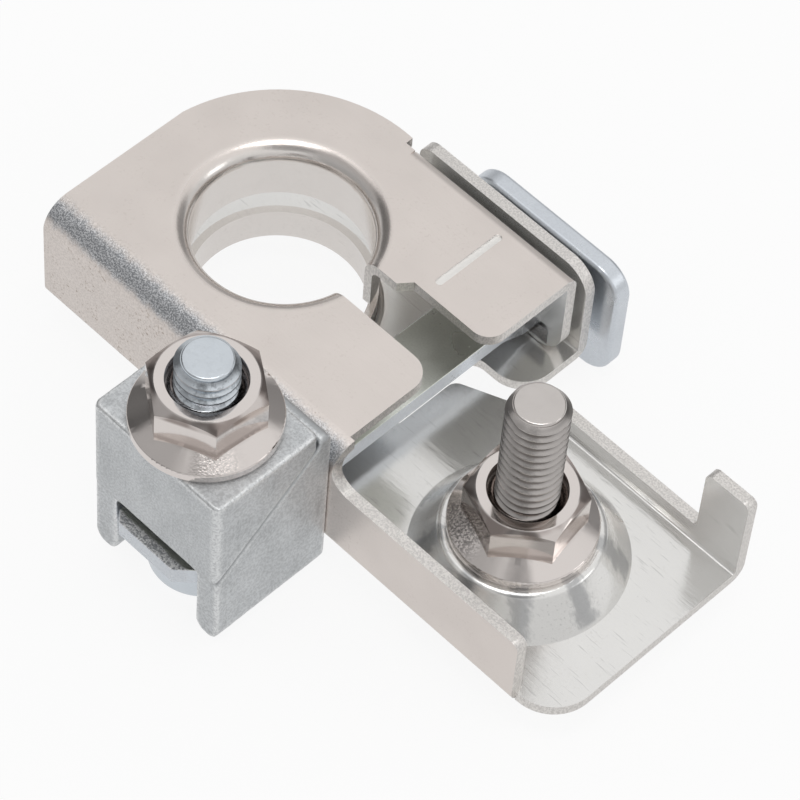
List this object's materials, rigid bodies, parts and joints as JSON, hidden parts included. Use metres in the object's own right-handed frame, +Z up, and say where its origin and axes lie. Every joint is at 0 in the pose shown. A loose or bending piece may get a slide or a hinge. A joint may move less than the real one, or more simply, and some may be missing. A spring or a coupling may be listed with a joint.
{
  "type": "battery terminal clamp",
  "caption": "Folded sheet post clamp tightened from above by a nut on a wedge pair and draw strap, with a side tray and upright stud for the cable lug.",
  "frame": {"origin": "post bore axis at the underside of the clamp body", "axes": "+Z up along the post bore and both bolts, +X from the bore towards the cable lug tray, +Y from the fold wall and wedge pair towards the head plate"},
  "size_m": [0.0666, 0.0509, 0.0303],
  "materials": {
    "tinned_sheet": "satin",
    "zinc_strap": "satin",
    "cast_zinc": "matte",
    "zinc_bolt": "satin",
    "bright_nut": "gloss",
    "bright_stud": "gloss"
  },
  "bodies": {
    "clamp": {"clamp_body": "tinned_sheet", "lower_wedge": "cast_zinc", "terminal_bolt": "bright_stud"},
    "strap": {"draw_strap": "zinc_strap", "clamp_bolt": "zinc_bolt"},
    "wedge": {"upper_wedge": "cast_zinc"},
    "clamping_nut": {"clamp_nut": "bright_nut"},
    "lug_nut": {"terminal_nut": "bright_nut"}
  },
  "joints": [
    {"name": "strap_draw", "type": "slide", "parent": "clamp", "child": "strap", "axis": [0, -1, 0], "range_m": [0, 0.0008]},
    {"name": "wedge_drop", "type": "slide", "parent": "strap", "child": "wedge", "axis": [0, 0, -1], "range_m": [0, 0.00063]},
    {"name": "clamp_nut_turn", "type": "hinge", "parent": "wedge", "child": "clamping_nut", "pos_m": [0.0143, -0.02315, 0.018], "axis": [0, 0, 1], "range_deg": [-226, 0]},
    {"name": "lug_nut_turn", "type": "hinge", "parent": "clamp", "child": "lug_nut", "pos_m": [0.0356, -0.00375, 0.0052], "axis": [0, 0, 1], "continuous": true}
  ],
  "couplings": [
    {"joint": "wedge_drop", "follows": "strap_draw", "ratio": 0.78129},
    {"joint": "clamp_nut_turn", "follows": "strap_draw", "rad_per_m": -4909}
  ]
}
